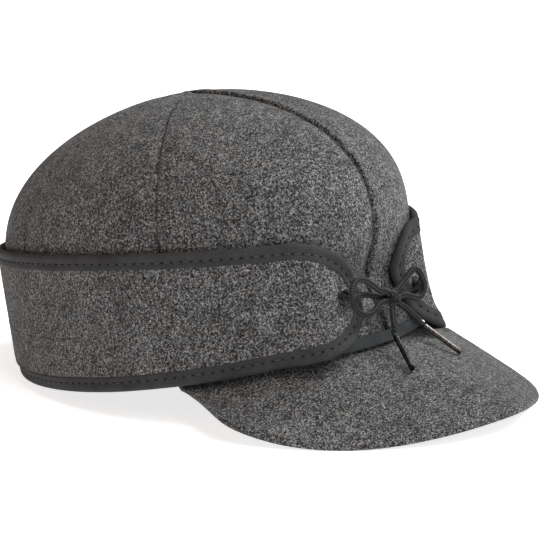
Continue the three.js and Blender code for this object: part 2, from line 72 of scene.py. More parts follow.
def makeCamera(size):
    azimuth, elevation = math.radians(size["azimuth"]), math.radians(size["elevation"])
    level = math.cos(elevation)
    back = Vector((math.sin(azimuth) * level, -math.cos(azimuth) * level, math.sin(elevation)))
    plain = back.to_track_quat("Z", "Y")
    right, up = plain @ Vector((1, 0, 0)), plain @ Vector((0, 1, 0))
    roll = math.radians(size["roll"])
    right, up = right * math.cos(roll) + up * math.sin(roll), up * math.cos(roll) - right * math.sin(roll)
    aimRight, aimUp = size["aim"]
    look = (-back + right * (aimRight / size["focal"]) + up * (aimUp / size["focal"])).normalized()
    right = (right - look * right.dot(look)).normalized()
    up = right.cross(look)
    turn = Matrix((right, up, -look)).transposed()
    data = bpy.data.cameras.new("photoCamera")
    data.sensor_width = 36
    data.lens = 36 * size["focal"] / size["pixels"]
    data.clip_start, data.clip_end = 0.05, 20
    camera = bpy.data.objects.new("photoCamera", data)
    camera.matrix_world = Matrix.Translation(Vector(size["target"]) + back * size["distance"]) @ turn.to_4x4()
    scene.collection.objects.link(camera)
    scene.camera = camera


makeCamera(cameraSizes)
print("camera in place")


# Small helpers
def smooth(t):
    t = np.clip(t, 0, 1)
    return t * t * (3 - 2 * t)


def degreesOff(heading):
    return np.abs(np.degrees((np.asarray(heading) + np.pi) % (2 * np.pi) - np.pi))


def waves(row, heading):
    return row[0] + row[1] * np.cos(heading) + row[2] * np.cos(2 * heading)


def unit(vectors):
    return vectors / np.maximum(np.linalg.norm(vectors, axis=-1, keepdims=True), 1e-9)


def normalsOf(surface, u, v, du, dv):
    return unit(np.cross(surface(u + du, v) - surface(u - du, v), surface(u, v + dv) - surface(u, v - dv)))


def crowded(count, pull=0.8):  # 0 to 1, closer together towards both ends
    t = np.linspace(0, 1, count + 1)
    return t * (1 - pull) + (0.5 - 0.5 * np.cos(np.pi * t)) * pull


# A smooth line through points, in even steps
def smoothLine(points, spacing):
    points = np.asarray(points, float)
    held = np.concatenate([[2 * points[0] - points[1]], points, [2 * points[-1] - points[-2]]])
    knots = np.concatenate([[0], np.cumsum(np.linalg.norm(np.diff(held, axis=0), axis=1) ** 0.5)])
    line = []
    for i in range(1, len(held) - 2):
        a, b, c, d = knots[i - 1:i + 3]
        p, q, r, s = held[i - 1:i + 3]
        t = np.linspace(b, c, 24, endpoint=False)[:, None]
        pq = (p * (b - t) + q * (t - a)) / (b - a)
        qr = (q * (c - t) + r * (t - b)) / (c - b)
        rs = (r * (d - t) + s * (t - c)) / (d - c)
        pqr = (pq * (c - t) + qr * (t - a)) / (c - a)
        qrs = (qr * (d - t) + rs * (t - b)) / (d - b)
        line.append((pqr * (c - t) + qrs * (t - b)) / (c - b))
    return evenly(np.concatenate(line + [points[-1:]]), spacing)


def evenly(line, spacing):
    travelled = np.concatenate([[0], np.cumsum(np.linalg.norm(np.diff(line, axis=0), axis=1))])
    wanted = np.linspace(0, travelled[-1], max(2, round(travelled[-1] / spacing)) + 1)
    return np.stack([np.interp(wanted, travelled, line[:, i]) for i in range(3)], -1)


# A flat cord keeps its broad face towards one side wherever its direction lets it
def broadFace(line, facing, start):
    tangent = unit(np.gradient(line, axis=0))
    face = np.asarray(start, float)
    faces = []
    for along in tangent:
        face = unit(face - along * face.dot(along))
        wanted = facing - along * facing.dot(along)
        if np.linalg.norm(wanted) > 0.35:
            wanted = unit(wanted) * (1 if wanted.dot(face) >= 0 else -1)
            face = unit(face + wanted * 0.07)
        faces.append(face)
    faces = np.array(faces)
    return tangent, faces, np.cross(tangent, faces)


def addPiece(name, vertices, faces, material, replaced=(), uv=None, sharp=50, shade=None):
    mesh = bpy.data.meshes.new(name)
    mesh.from_pydata([tuple(v) for v in vertices], [], [tuple(int(i) for i in face) for face in faces])
    if uv is not None:
        mesh.uv_layers.new(name="cloth").data.foreach_set("uv", np.asarray(uv, np.float32).ravel())
    if shade is not None:
        # Painted shade: vertices past the given ones, the knot's core and the tube ends, get a fixed shade of 0.3
        shades = np.full(len(mesh.vertices), 0.3)
        shades[:len(shade)] = shade
        mesh.attributes.new("shade", "FLOAT", "POINT").data.foreach_set("value", shades)
    mesh.polygons.foreach_set("use_smooth", [True] * len(mesh.polygons))
    mesh.validate()
    mesh.set_sharp_from_angle(angle=math.radians(sharp))
    mesh.materials.append(material)
    piece = bpy.data.objects.new(name, mesh)
    scene.collection.objects.link(piece)
    finishPiece(piece, replaced)
    return piece


def finishPiece(piece, replaced=()):
    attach(piece, "root")
    if replaced:
        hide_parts(*replaced)


def facedOut(vertices, faces):
    a, b, c = (vertices[faces[:, i]] for i in range(3))
    volume = np.einsum("ij,ij->i", a, np.cross(b, c)).sum()
    if faces.shape[1] == 4:
        d = vertices[faces[:, 3]]
        volume += np.einsum("ij,ij->i", a, np.cross(c, d)).sum()
    return faces if volume > 0 else faces[:, ::-1]


def gridFaces(rows, columns, start=0, closeRows=False, closeColumns=False):
    r = np.arange(rows if closeRows else rows - 1)
    c = np.arange(columns if closeColumns else columns - 1)
    row, column = np.meshgrid(r, c, indexing="ij")
    after, beside = (row + 1) % rows, (column + 1) % columns
    return start + np.stack([row * columns + column, row * columns + beside,
                             after * columns + beside, after * columns + column], -1).reshape(-1, 4)


# A sheet of cloth: an outer and an inner grid, walled round the edge
def sheetParts(outer, inner):
    rows, columns = outer.shape[:2]
    under = rows * columns
    vertices = np.concatenate([outer.reshape(-1, 3), inner.reshape(-1, 3)])
    top = gridFaces(rows, columns)
    bottom = gridFaces(rows, columns, under)[:, ::-1]
    index = np.arange(under).reshape(rows, columns)
    edge = np.concatenate([index[0], index[1:, -1], index[-1, -2::-1], index[-2:0:-1, 0]])
    after = np.roll(edge, -1)
    wall = np.stack([edge, edge + under, after + under, after], -1)
    return vertices, np.concatenate([top, bottom, wall])


# A tube: one closed section after another, its ends shut or joined round
def tubeParts(sections, closed=False):
    count, around = sections.shape[:2]
    vertices = sections.reshape(-1, 3)
    faces = gridFaces(count, around, closeRows=closed, closeColumns=True)
    if closed:
        return vertices, faces
    ends = np.stack([sections[0].mean(0), sections[-1].mean(0)])
    vertices = np.concatenate([vertices, ends])
    side = np.arange(around)
    near = np.stack([side, side, np.full(around, count * around), (side + 1) % around], -1)
    last = (count - 1) * around
    far = np.stack([side + last, (side + 1) % around + last, np.full(around, count * around + 1), side + last], -1)
    return vertices, faces, near[:, [0, 2, 3]][:, ::-1], far[:, [0, 1, 2]]


def tubeMesh(sections, closed=False):
    if closed:
        vertices, faces = tubeParts(sections, True)
        return vertices, list(facedOut(vertices, faces))
    vertices, faces, near, far = tubeParts(sections)
    a, b, c, d = (vertices[faces[:, i]] for i in range(4))
    centre = vertices.mean(0)
    volume = np.einsum("ij,ij->i", a - centre, np.cross(b - centre, c - centre)).sum()
    volume += np.einsum("ij,ij->i", a - centre, np.cross(c - centre, d - centre)).sum()
    if volume > 0:
        return vertices, list(faces) + list(near[:, ::-1]) + list(far[:, ::-1])
    return vertices, list(faces[:, ::-1]) + list(near) + list(far)


# Where each corner of a closed tube's faces lies: metres along it, and metres round its section
def tubeUv(faces, sections):
    count, around = sections.shape[:2]
    faces = np.array(faces)
    row, column = faces // around, faces % around
    row = np.where((row.min(1) == 0)[:, None] & (row.max(1) == count - 1)[:, None] & (row == 0), count, row)
    column = np.where((column.min(1) == 0)[:, None] & (column.max(1) == around - 1)[:, None] & (column == 0),
                      around, column)
    middle = np.concatenate([sections, sections[:1]]).mean(1)
    along = np.concatenate([[0], np.cumsum(np.linalg.norm(np.diff(middle, axis=0), axis=1))])
    closed = np.concatenate([sections[0], sections[0][:1]])
    across = np.concatenate([[0], np.cumsum(np.linalg.norm(np.diff(closed, axis=0), axis=1))])
    return np.stack([along[row], across[column]], -1)


# Materials
def newMaterial(name):
    material = bpy.data.materials.new(name)
    material.use_nodes = True
    tree = material.node_tree
    shader = tree.nodes["Principled BSDF"]
    return material, tree, shader


def node(tree, kind, inputs=None, **settings):
    made = tree.nodes.new(kind)
    for key, value in settings.items():
        setattr(made, key, value)
    shown = {socket.name: socket for socket in reversed(made.inputs) if socket.enabled}
    for key, value in (inputs or {}).items():
        socket = made.inputs[key] if isinstance(key, int) else shown[key]
        if isinstance(value, bpy.types.NodeSocket):
            tree.links.new(value, socket)
        else:
            socket.default_value = value
    return made


def math2(tree, operation, first, second=0.0, third=None):
    inputs = {0: first, 1: second}
    if third is not None:
        inputs[2] = third
    return node(tree, "ShaderNodeMath", inputs, operation=operation).outputs[0]


def noiseOf(tree, coordinates, size, detail=3, distortion=0.0, offset=None):
    if offset is not None:
        coordinates = node(tree, "ShaderNodeMapping", {"Vector": coordinates, "Location": offset}).outputs[0]
    made = node(tree, "ShaderNodeTexNoise", {"Vector": coordinates, "Scale": 1 / size, "Detail": detail,
                                             "Distortion": distortion})
    return made.outputs["Fac"]


# Felted wool: short curved fibres, light and dark, lying every way on a clouded ground
woolSizes = {
    # size in metres, sharpness and offset of each layer
    "fibres": [(0.0013, 6.2, (0.1, 0, 0)), (0.00105, 5.2, (0, 0.23, 0)), (0.0018, 8.5, (0, 0, 0.37))],
    "pits": [(0.0014, 6.2, (0.51, 0, 0.2)), (0.0011, 5.2, (0, 0.67, 0.3))],
    "broken": 0.0012, "grain": 0.0006, "cloud": 0.007, "patch": 0.03,
    "dark": (0.006, 0.006, 0.0065), "middle": (0.052, 0.052, 0.053), "light": (0.4, 0.405, 0.41),
    "bump": 0.00035,
    "ground": 0.34, "fibreShare": 0.57, "pitShare": 0.45, "grainShare": 0.5, "cloudShare": 0.3, "patchShare": 0.12,
}


# Bright where a noise crosses its middle value, so thin winding lines, broken up by a second noise
def strandLines(tree, coordinates, scale, sharpness, offset, broken):
    noise = noiseOf(tree, coordinates, scale, 1.5, 0.4, offset)
    off = math2(tree, "ABSOLUTE", math2(tree, "SUBTRACT", noise, 0.5))
    line = math2(tree, "MAXIMUM", math2(tree, "MULTIPLY_ADD", off, -2.0 * sharpness, 1.0), 0.0)
    gaps = noiseOf(tree, coordinates, broken, 1, 0, tuple(2 * value + 0.05 for value in offset))
    shown = node(tree, "ShaderNodeMapRange", {"Value": gaps, "From Min": 0.34, "From Max": 0.54})
    return math2(tree, "MULTIPLY", line, shown.outputs[0])


def makeWool(size):
    material, tree, shader = newMaterial("charcoalWool")
    coordinates = node(tree, "ShaderNodeTexCoord").outputs["Object"]
    fibres = [strandLines(tree, coordinates, *row, size["broken"]) for row in size["fibres"]]
    pits = [strandLines(tree, coordinates, *row, size["broken"]) for row in size["pits"]]
    light = math2(tree, "MAXIMUM", math2(tree, "MAXIMUM", fibres[0], fibres[1]), fibres[2])
    dark = math2(tree, "MAXIMUM", pits[0], pits[1])
    grain = noiseOf(tree, coordinates, size["grain"], 2)
    cloud = noiseOf(tree, coordinates, size["cloud"], 3)
    patch = noiseOf(tree, coordinates, size["patch"], 2)
    value = math2(tree, "MULTIPLY_ADD", light, size["fibreShare"], size["ground"])
    value = math2(tree, "ADD", value, math2(tree, "MULTIPLY", dark, -size["pitShare"]))
    for noise, share in ((grain, "grainShare"), (cloud, "cloudShare"), (patch, "patchShare")):
        value = math2(tree, "ADD", value, math2(tree, "MULTIPLY_ADD", noise, size[share], -size[share] / 2))
    ramp = node(tree, "ShaderNodeValToRGB", {"Fac": value})
    stops = ramp.color_ramp.elements
    stops[0].position, stops[0].color = 0.08, (*size["dark"], 1)
    stops[1].position, stops[1].color = 0.92, (*size["light"], 1)
    middle = stops.new(0.45)
    middle.color = (*size["middle"], 1)
    warm = noiseOf(tree, coordinates, 0.0022, 1)
    warmer = node(tree, "ShaderNodeMapRange", {"Value": warm, "From Min": 0.35, "From Max": 0.65})
    hue = node(tree, "ShaderNodeMix", {"Factor": warmer.outputs[0], "A": (1.06, 0.99, 0.95, 1),
                                       "B": (0.96, 1.01, 1.03, 1)}, data_type="RGBA")
    colour = node(tree, "ShaderNodeMix", {"Factor": 1.0, "A": ramp.outputs[0], "B": hue.outputs[2]},
                  data_type="RGBA", blend_type="MULTIPLY")
    tree.links.new(colour.outputs[2], shader.inputs["Base Color"])
    bump = node(tree, "ShaderNodeBump", {"Height": value, "Strength": 0.8, "Distance": size["bump"]})
    tree.links.new(bump.outputs[0], shader.inputs["Normal"])
    tree.links.new(math2(tree, "MULTIPLY_ADD", grain, 0.2, 0.78), shader.inputs["Roughness"])
    shader.inputs["Specular IOR Level"].default_value = 0.15
    shader.inputs["Sheen Weight"].default_value = 0.08
    shader.inputs["Sheen Roughness"].default_value = 0.5
    return material


# Twill: fine diagonal ribs along the tape
twillSizes = {"rib": 0.00062, "slant": 1.0, "dark": (0.011, 0.011, 0.0111), "light": (0.08, 0.081, 0.082)}


def makeTwill(size, name, uv=True):
    material, tree, shader = newMaterial(name)
    coordinates = node(tree, "ShaderNodeTexCoord").outputs["UV" if uv else "Object"]
    place = node(tree, "ShaderNodeTexCoord").outputs["Object"]
    parts = node(tree, "ShaderNodeSeparateXYZ", {0: coordinates})
    diagonal = math2(tree, "MULTIPLY_ADD", parts.outputs[1 if uv else 2], size["slant"], parts.outputs[0])
    turned = math2(tree, "MULTIPLY", diagonal, 2 * math.pi / size["rib"])
    ribs = math2(tree, "MULTIPLY_ADD", math2(tree, "SINE", turned), 0.5, 0.5)
    grain = noiseOf(tree, place, 0.0005, 2)
    cloud = noiseOf(tree, place, 0.008, 3)
    value = math2(tree, "MULTIPLY_ADD", ribs, 0.42, math2(tree, "MULTIPLY", grain, 0.5))
    value = math2(tree, "ADD", value, math2(tree, "MULTIPLY_ADD", cloud, 0.5, -0.25))
    ramp = node(tree, "ShaderNodeValToRGB", {"Fac": value})
    stops = ramp.color_ramp.elements
    stops[0].position, stops[0].color = 0.1, (*size["dark"], 1)
    stops[1].position, stops[1].color = 0.95, (*size["light"], 1)
    tree.links.new(ramp.outputs[0], shader.inputs["Base Color"])
    bump = node(tree, "ShaderNodeBump", {"Height": value, "Strength": 0.5, "Distance": 0.00012})
    tree.links.new(bump.outputs[0], shader.inputs["Normal"])
    tree.links.new(math2(tree, "MULTIPLY_ADD", cloud, 0.2, 0.62), shader.inputs["Roughness"])
    shader.inputs["Specular IOR Level"].default_value = 0.1
    shader.inputs["Sheen Weight"].default_value = 0.02
    shader.inputs["Sheen Roughness"].default_value = 0.45
    return material


def makeThread(name, dark, light, roughness, shadeName=""):
    material, tree, shader = newMaterial(name)
    place = node(tree, "ShaderNodeTexCoord").outputs["Object"]
    grain = noiseOf(tree, place, 0.00035, 2)
    cloud = noiseOf(tree, place, 0.003, 2)
    value = math2(tree, "MULTIPLY_ADD", grain, 0.7, math2(tree, "MULTIPLY", cloud, 0.3))
    if shadeName:
        shade = node(tree, "ShaderNodeAttribute", attribute_name=shadeName).outputs["Fac"]
        value = math2(tree, "MULTIPLY_ADD", shade, 0.6, math2(tree, "MULTIPLY_ADD", value, 0.5, -0.02))
    ramp = node(tree, "ShaderNodeValToRGB", {"Fac": value})
    stops = ramp.color_ramp.elements
    stops[0].position, stops[0].color = 0.3, (*dark, 1)
    stops[1].position, stops[1].color = 0.75, (*light, 1)
    tree.links.new(ramp.outputs[0], shader.inputs["Base Color"])
    bump = node(tree, "ShaderNodeBump", {"Height": grain, "Strength": 0.5, "Distance": 0.0001})
    tree.links.new(bump.outputs[0], shader.inputs["Normal"])
    tree.links.new(math2(tree, "MULTIPLY_ADD", cloud, 0.2, roughness - 0.1), shader.inputs["Roughness"])
    shader.inputs["Specular IOR Level"].default_value = 0.12
    return material


def makeMetal(name, dark, light, metallic, roughness, wear):
    material, tree, shader = newMaterial(name)
    place = node(tree, "ShaderNodeTexCoord").outputs["Object"]
    stain = noiseOf(tree, place, 0.0022, 4, 0.5)
    scratch = noiseOf(tree, place, 0.0004, 2)
    ramp = node(tree, "ShaderNodeValToRGB", {"Fac": stain})
    stops = ramp.color_ramp.elements
    stops[0].position, stops[0].color = 0.35, (*dark, 1)
    stops[1].position, stops[1].color = 0.7, (*light, 1)
    tree.links.new(ramp.outputs[0], shader.inputs["Base Color"])
    shader.inputs["Metallic"].default_value = metallic
    tree.links.new(math2(tree, "MULTIPLY_ADD", stain, wear, roughness - wear / 2), shader.inputs["Roughness"])
    bump = node(tree, "ShaderNodeBump", {"Height": scratch, "Strength": 0.12, "Distance": 0.00005})
    tree.links.new(bump.outputs[0], shader.inputs["Normal"])
    return material


wool = makeWool(woolSizes)
twill = makeTwill(twillSizes, "charcoalTwill")
# The hem tape is the binding's twill cloth again, given paler and cooler darks and lights as painted light
hemTwillPaintedLight = makeTwill({**twillSizes, "dark": (0.024, 0.026, 0.028), "light": (0.078, 0.083, 0.088)}, "hemTwillPaintedLight", False)
braid = makeThread("blackBraid", (0.0012, 0.0012, 0.0013), (0.062, 0.062, 0.063), 0.45, "shade")
# Dark thread for the band and seam stitches; the same material is painted shade in the binding's stitch holes
threadAndHoleShade = makeThread("darkThreadAndHoleShade", (0.006, 0.006, 0.0065), (0.02, 0.02, 0.021), 0.7)
paleThread = makeThread("greyThread", (0.03, 0.031, 0.031), (0.1, 0.102, 0.102), 0.7)
gloss = makeMetal("blackGloss", (0.008, 0.008, 0.009), (0.014, 0.014, 0.015), 0.0, 0.16, 0.08)
# Two copies of one nickel for the two aglets: the near one darker as painted shade, the far one paler as painted light
paintedShadeNickel = makeMetal("paintedShadeNickel", (0.02, 0.02, 0.021), (0.05, 0.048, 0.047), 1.0, 0.22, 0.1)
paintedLightNickel = makeMetal("paintedLightNickel", (0.085, 0.075, 0.07), (0.17, 0.153, 0.143), 1.0, 0.27, 0.1)

# Crown and ear band as surfaces
crown = {
    "halfLength": 105, "halfWidth": 85,
    "wallHeight": 49.7, "wallFrontRise": 5.85,
    "top": 123.2, "bulge": 0.013,
    "roundness": 1.196, "frontRoundness": -0.1,
    "topRoundness": 0.806, "topForward": 1, "lastRing": 89.2,
    "hemFrom": 15, "hemMeet": 37, "backFrom": 86, "backTo": 108, "backRise": 9,
    "dentDepth": 8.7, "dentHeight": 30, "dentTall": 16, "dentWide": 20,
    "cloth": 2.5, "gap": 0.3,
    "seamDip": 0.5, "seamWide": 7, "edgeRoll": 0.7, "sideRoll": 1.05, "edgeWidth": 1.5, "puff": 0.5,
    "seamGap": 0.18, "seamWave": 0.35,
    "weltRise": 1.3, "weltWidth": 5,
}
bandTop = (58.2, -1.55, -2.02)
bandBottom = (-0.8, -0.665, 3.6)
backSag = {"depth": 4.47, "from": 68.7, "to": 144.7}


def wallTop(heading):
    return crown["wallHeight"] + crown["wallFrontRise"] * np.cos(heading)


def hemHeight(heading):
    off = degreesOff(heading)
    band = waves(bandBottom, heading) * smooth((off - crown["hemFrom"]) / (crown["hemMeet"] - crown["hemFrom"]))
    return band + crown["backRise"] * smooth((off - crown["backFrom"]) / (crown["backTo"] - crown["backFrom"]))


def dent(heading, up):
    aside = np.degrees((heading + np.pi) % (2 * np.pi) - np.pi) / crown["dentWide"]
    return crown["dentDepth"] * np.exp(-((up - crown["dentHeight"]) / crown["dentTall"]) ** 2 - aside ** 2)


def crownWall(heading, up):
    scale = 1 + crown["bulge"] * smooth(up / wallTop(heading))
    forward = scale * crown["halfLength"] * np.cos(heading) - dent(heading, up)
    return np.stack([forward, scale * crown["halfWidth"] * np.sin(heading), up + 0 * heading], -1)


def crownDome(heading, angle):
    rise = np.sin(angle) ** crown["topRoundness"]
    up = wallTop(heading) + (crown["top"] - wallTop(heading)) * rise
    roundness = crown["roundness"] + crown["frontRoundness"] * np.cos(heading)
    scale = (1 + crown["bulge"]) * np.cos(angle) ** roundness
    forward = scale * crown["halfLength"] * np.cos(heading) + crown["topForward"] * rise - dent(heading, up)
    return np.stack([forward, scale * crown["halfWidth"] * np.sin(heading), up], -1)


# level runs from 0 at the hem to 1 where the dome starts and 2 at the top
def crownPoint(heading, level):
    heading, level = np.broadcast_arrays(np.asarray(heading, float), np.asarray(level, float))
    hem = hemHeight(heading)
    wall = crownWall(heading, hem + (wallTop(heading) - hem) * np.minimum(level, 1))
    dome = crownDome(heading, np.radians(crown["lastRing"]) * np.clip(level - 1, 0, 1))
    return np.where((level <= 1)[..., None], wall, dome)


band = {
    "thickness": 2.6, "seat": 2.8, "seatRise": 0.7, "seatHeight": 50,
    "roomOut": 1.1, "roomBelow": 12, "roomFade": 8, "roomFrom": 80, "roomTo": 95,
    "curl": 2.1, "curlHeight": 5.4, "curlFrom": 85, "curlTo": 115,
}
binding = {"width": 7.5, "thickness": 3.6}

# The band's two front ends: how each rounds off, stands off the crown and is drawn back in by the lace
ends = {
    "right": {
        "from": 37, "tip": 9.3, "drop": 4, "topFall": 0, "sag": 0, "turnPower": 1, "risePower": 1,
        "flareTop": 2, "flareLow": 9, "flarePower": 2, "flareFrom": 42, "flareFull": 24,
        "tuck": 11, "tuckFrom": 28, "tuckTo": 9,
    },
    "left": {
        "from": 38.2, "tip": 9.6, "drop": -3.84, "topFall": 3.62, "sag": 7.7, "turnPower": 0.32, "risePower": 1.81,
        "flareTop": 3.02, "flareLow": 9.9, "flarePower": 2.36, "flareFrom": 28.24, "flareFull": 21.36,
        "tuck": 13.07, "tuckFrom": 24.07, "tuckTo": 9.87,
    },
}
topFall = {"from": 90, "to": 40}


def topEdge(heading):
    left = (np.sin(heading) > 0) & (np.cos(heading) > 0)
    fall = smooth((topFall["from"] - degreesOff(heading)) / (topFall["from"] - topFall["to"]))
    return waves(bandTop, heading) - np.where(left, ends["left"]["topFall"] * fall, 0)


def bottomEdge(heading):
    off = degreesOff(heading)
    return waves(bandBottom, heading) - backSag["depth"] * smooth(
        (off - backSag["from"]) / (backSag["to"] - backSag["from"]))


def bandOffset(heading, up):
    off = degreesOff(heading)
    left = np.sin(heading) > 0

    def end(key):
        return np.where(left, ends["left"][key], ends["right"][key])

    level = np.clip(1 - up / band["seatHeight"], 0, 1.3)
    standing = smooth((end("flareFrom") - off) / (end("flareFrom") - end("flareFull")))
    flare = standing * (end("flareTop") + (end("flareLow") - end("flareTop")) * level ** end("flarePower"))
    tuck = end("tuck") * np.clip((end("tuckFrom") - off) / (end("tuckFrom") - end("tuckTo")), 0, 1.05) ** 1.2
    sides = 1 - smooth((off - band["roomFrom"]) / (band["roomTo"] - band["roomFrom"]))
    room = band["roomOut"] * sides * smooth((band["roomBelow"] - up) / band["roomFade"])
    aboveEdge = np.clip(1 - (up - waves(bandBottom, heading)) / band["curlHeight"], 0, 1)
    curl = band["curl"] * smooth((off - band["curlFrom"]) / (band["curlTo"] - band["curlFrom"])) * aboveEdge ** 2
    lying = band["seat"] + band["seatRise"] * smooth(up / band["seatHeight"]) + flare + room - curl - tuck
    wall = crown["bulge"] * crown["halfLength"] * smooth(up / wallTop(heading)) - dent(heading, up) * np.cos(heading)
    closest = wall + binding["thickness"] / 2 + 0.65
    kept = (lying + closest + np.sqrt((lying - closest) ** 2 + 0.6)) / 2
    return np.where(off >= 45, lying, kept)


def bandPoint(heading, up, out=0):
    heading, up = np.broadcast_arrays(np.asarray(heading, float), np.asarray(up, float))
    offset = bandOffset(heading, up) + out
    forward = (crown["halfLength"] + offset) * np.cos(heading)
    return settled(np.stack([forward, (crown["halfWidth"] + offset) * np.sin(heading), up], -1))


# One front end of the band, evenly stepped from its top edge round its tip to its bottom edge
def noseLine(end, steps):
    start, tip = math.radians(end["from"]), math.radians(end["tip"])
    top, bottom = waves(bandTop, start), waves(bandBottom, start)
    fine = 480
    turn = np.pi * np.arange(fine + 1) / fine
    upper = turn < np.pi / 2
    swing, rise = np.sin(turn), np.cos(turn)
    around = np.where(upper, np.abs(swing) ** end["turnPower"], swing)
    along = np.where(upper, np.abs(rise) ** end["risePower"], rise)
    up = (top + bottom) / 2 + (top - bottom) / 2 * along - end["drop"] * swing ** 2
    up = up - np.where(upper, end["topFall"] * rise, end["sag"] * np.sin(2 * turn - np.pi))
    heading = start - (start - tip) * around
    travelled = np.concatenate([[0], np.cumsum(np.hypot(np.diff(heading) * crown["halfWidth"], np.diff(up)))])
    middle, whole = travelled[fine // 2], travelled[-1]
    wanted = np.concatenate([np.linspace(0, middle, steps + 1), np.linspace(middle, whole, steps + 1)[1:]])
    return np.interp(wanted, travelled, heading), np.interp(wanted, travelled, up)


# The band's edge as headings and heights, once round it: left end, top, right end, bottom
def bandEdge(noseSteps, sideSteps):
    left, right = noseLine(ends["left"], noseSteps), noseLine(ends["right"], noseSteps)
    start, stop = left[0][0], 2 * np.pi - right[0][0]
    side = start + (stop - start) * np.arange(1, sideSteps) / sideSteps
    return (np.concatenate([left[0][::-1], side, 2 * np.pi - right[0], side[::-1]]),
            np.concatenate([left[1][::-1], topEdge(side), right[1], bottomEdge(side[::-1])]))


# Moves each edge point inwards over the band's surface
def insetEdge(edge, distance):
    heading, up = edge
    turned = np.roll(heading, -1) - np.roll(heading, 1)
    radius = np.hypot(crown["halfLength"] * np.sin(heading), crown["halfWidth"] * np.cos(heading))
    along = unit(np.stack([turned * radius, np.roll(up, -1) - np.roll(up, 1)], -1))
    return heading + along[:, 1] * distance / radius, up - along[:, 0] * distance


# Lace: through the eyelet, over to the knot, round a loop, through the knot again and down a tail
eyelet = {
    "heading": 18.4, "rightHeight": 26.5, "leftHeight": 21.5,
    "hole": 2.2, "barrel": 2.7, "flange": 4, "seat": 0.4, "lip": 0.6, "rollUnder": 0.35, "rollOver": 0.25,
}
lace = {
    "width": 2.8, "thick": 2.65, "groove": 0.4, "grooveWidth": 0.45, "around": 22,
    "rib": 0.12, "ribPitch": 1.1, "ribSlant": 0.6, "step": 0.19, "into": 2, "out": 2.6, "sleeved": 1.6,
}
aglet = {"radius": 1.4, "flutes": 8, "fluteDepth": 0.26, "lip": 0.16, "gap": 0.3}
knot = {
    "centre": (109, 0.7, 20.9), "half": (3.2, 4.3, 3.8),
    "strandOut": 2.7, "strandAcross": 3.3, "strandLean": (0, 0.72, -0.7), "strandRibs": 17,
}
laceRoutes = {
    "right": {
        "run": [(107.3, -26.9, 26.6), (107.4, -24, 26.5), (106.2, -20, 26), (106.2, -14, 25), (106.1, -9, 23.4),
                (106.2, -2.6, 21.6)],
        "inward": [(106.6, 0.2, 21.6), (108.2, 1.8, 22.6), (109.6, 0.2, 23.4)],
        "loop": [(109.8, -2.6, 23.4), (109.8, -5.6, 24.9), (109.8, -9.3, 26), (109.8, -12.3, 28.2),
                 (109.8, -15.6, 30.5), (109.8, -19.4, 32.7), (109.8, -22.9, 33.8), (110.2, -26.4, 33.5),
                 (110.5, -29.4, 31.7), (110.8, -31, 29.1), (110.8, -31.1, 25.6), (110.5, -30, 22.5),
                 (109.8, -26.7, 19.3), (109.8, -22.8, 17.3), (109.8, -17.8, 16.8), (109.6, -13.6, 18),
                 (109.3, -10.2, 19.6), (109, -6.4, 20), (108.8, -2.8, 19.6)],
        "back": [(109.2, -0.6, 19.6), (110.2, 0.4, 20.6), (110.6, -0.4, 20.4)],
        "tail": [(110, -0.8, 19), (110.2, -1.8, 16.4), (110.8, -3.3, 12.3), (111.9, -4.4, 7), (112.8, -5.5, 3.2)],
        "tip": (126.7, -14.4, -9.9),
    },
    "left": {
        "run": [(107.3, 26.9, 21.2), (107.4, 24, 20.6), (106.2, 20, 19.4), (106.2, 14, 19.6), (106.1, 9, 20.4),
                (106.2, 4, 21)],
        "inward": [(106.6, 1.2, 21.4), (108.2, -0.4, 22.4), (109.4, 0.9, 23.3)],
        "loop": [(109.8, 3, 23.6), (109.8, 5.8, 24.9), (109.8, 9.2, 26.3), (109.8, 13.7, 28.6), (109.8, 17.2, 30.3),
                 (109.8, 20, 30.4), (110.1, 22.4, 28), (110.6, 23.5, 24.6), (110.6, 24, 21), (109.8, 22.8, 18),
                 (109.8, 19.6, 16.8), (109.8, 15.6, 17.6), (109.7, 11.6, 19.4), (109.5, 8, 20.2),
                 (109.4, 4.2, 20)],
        "back": [(109.4, 1.8, 20.2), (109.2, 0.2, 19.4), (109.6, 0.9, 18.4)],
        "tail": [(110, 2, 18.4), (110.1, 4.2, 16.6), (110.1, 6.8, 15), (110, 9.6, 13), (109.4, 13.8, 9.6),
                 (108.7, 19, 5.6), (108.9, 22, 2.7)],
        "tip": (124.9, 26.6, -11.4),
    },
}


def eyeletPlace(side):
    heading = side * math.radians(eyelet["heading"])
    up = eyelet["leftHeight"] if side > 0 else eyelet["rightHeight"]
    return bandPoint(heading, up), -normalsOf(bandPoint, heading, np.array(float(up)), 0.02, 1.0)


# Two plied ridges side by side, with slanting ribs; the shade attribute is painted shade, dark between ribs and in the
# groove
def laceSections(line, face, side, travelled):
    turn = 2 * np.pi * np.arange(lace["around"]) / lace["around"]
    across = lace["width"] / 2 * np.cos(turn)
    groove = np.exp(-(across / lace["grooveWidth"]) ** 2)
    high = lace["thick"] / 2 * np.sign(np.sin(turn)) * np.abs(np.sin(turn)) ** 0.8 * (1 - lace["groove"] * groove)
    ribs = np.cos(2 * np.pi * (travelled[:, None] - lace["ribSlant"] * np.abs(across)[None, :]) / lace["ribPitch"])
    scale = 1 + lace["rib"] * (ribs - 0.4)
    flat = side[:, None, :] * across[None, :, None] + face[:, None, :] * high[None, :, None]
    shade = (0.5 + 0.5 * ribs) * (1 - 0.85 * groove)[None, :]
    return line[:, None, :] + flat * scale[..., None], shade.ravel()


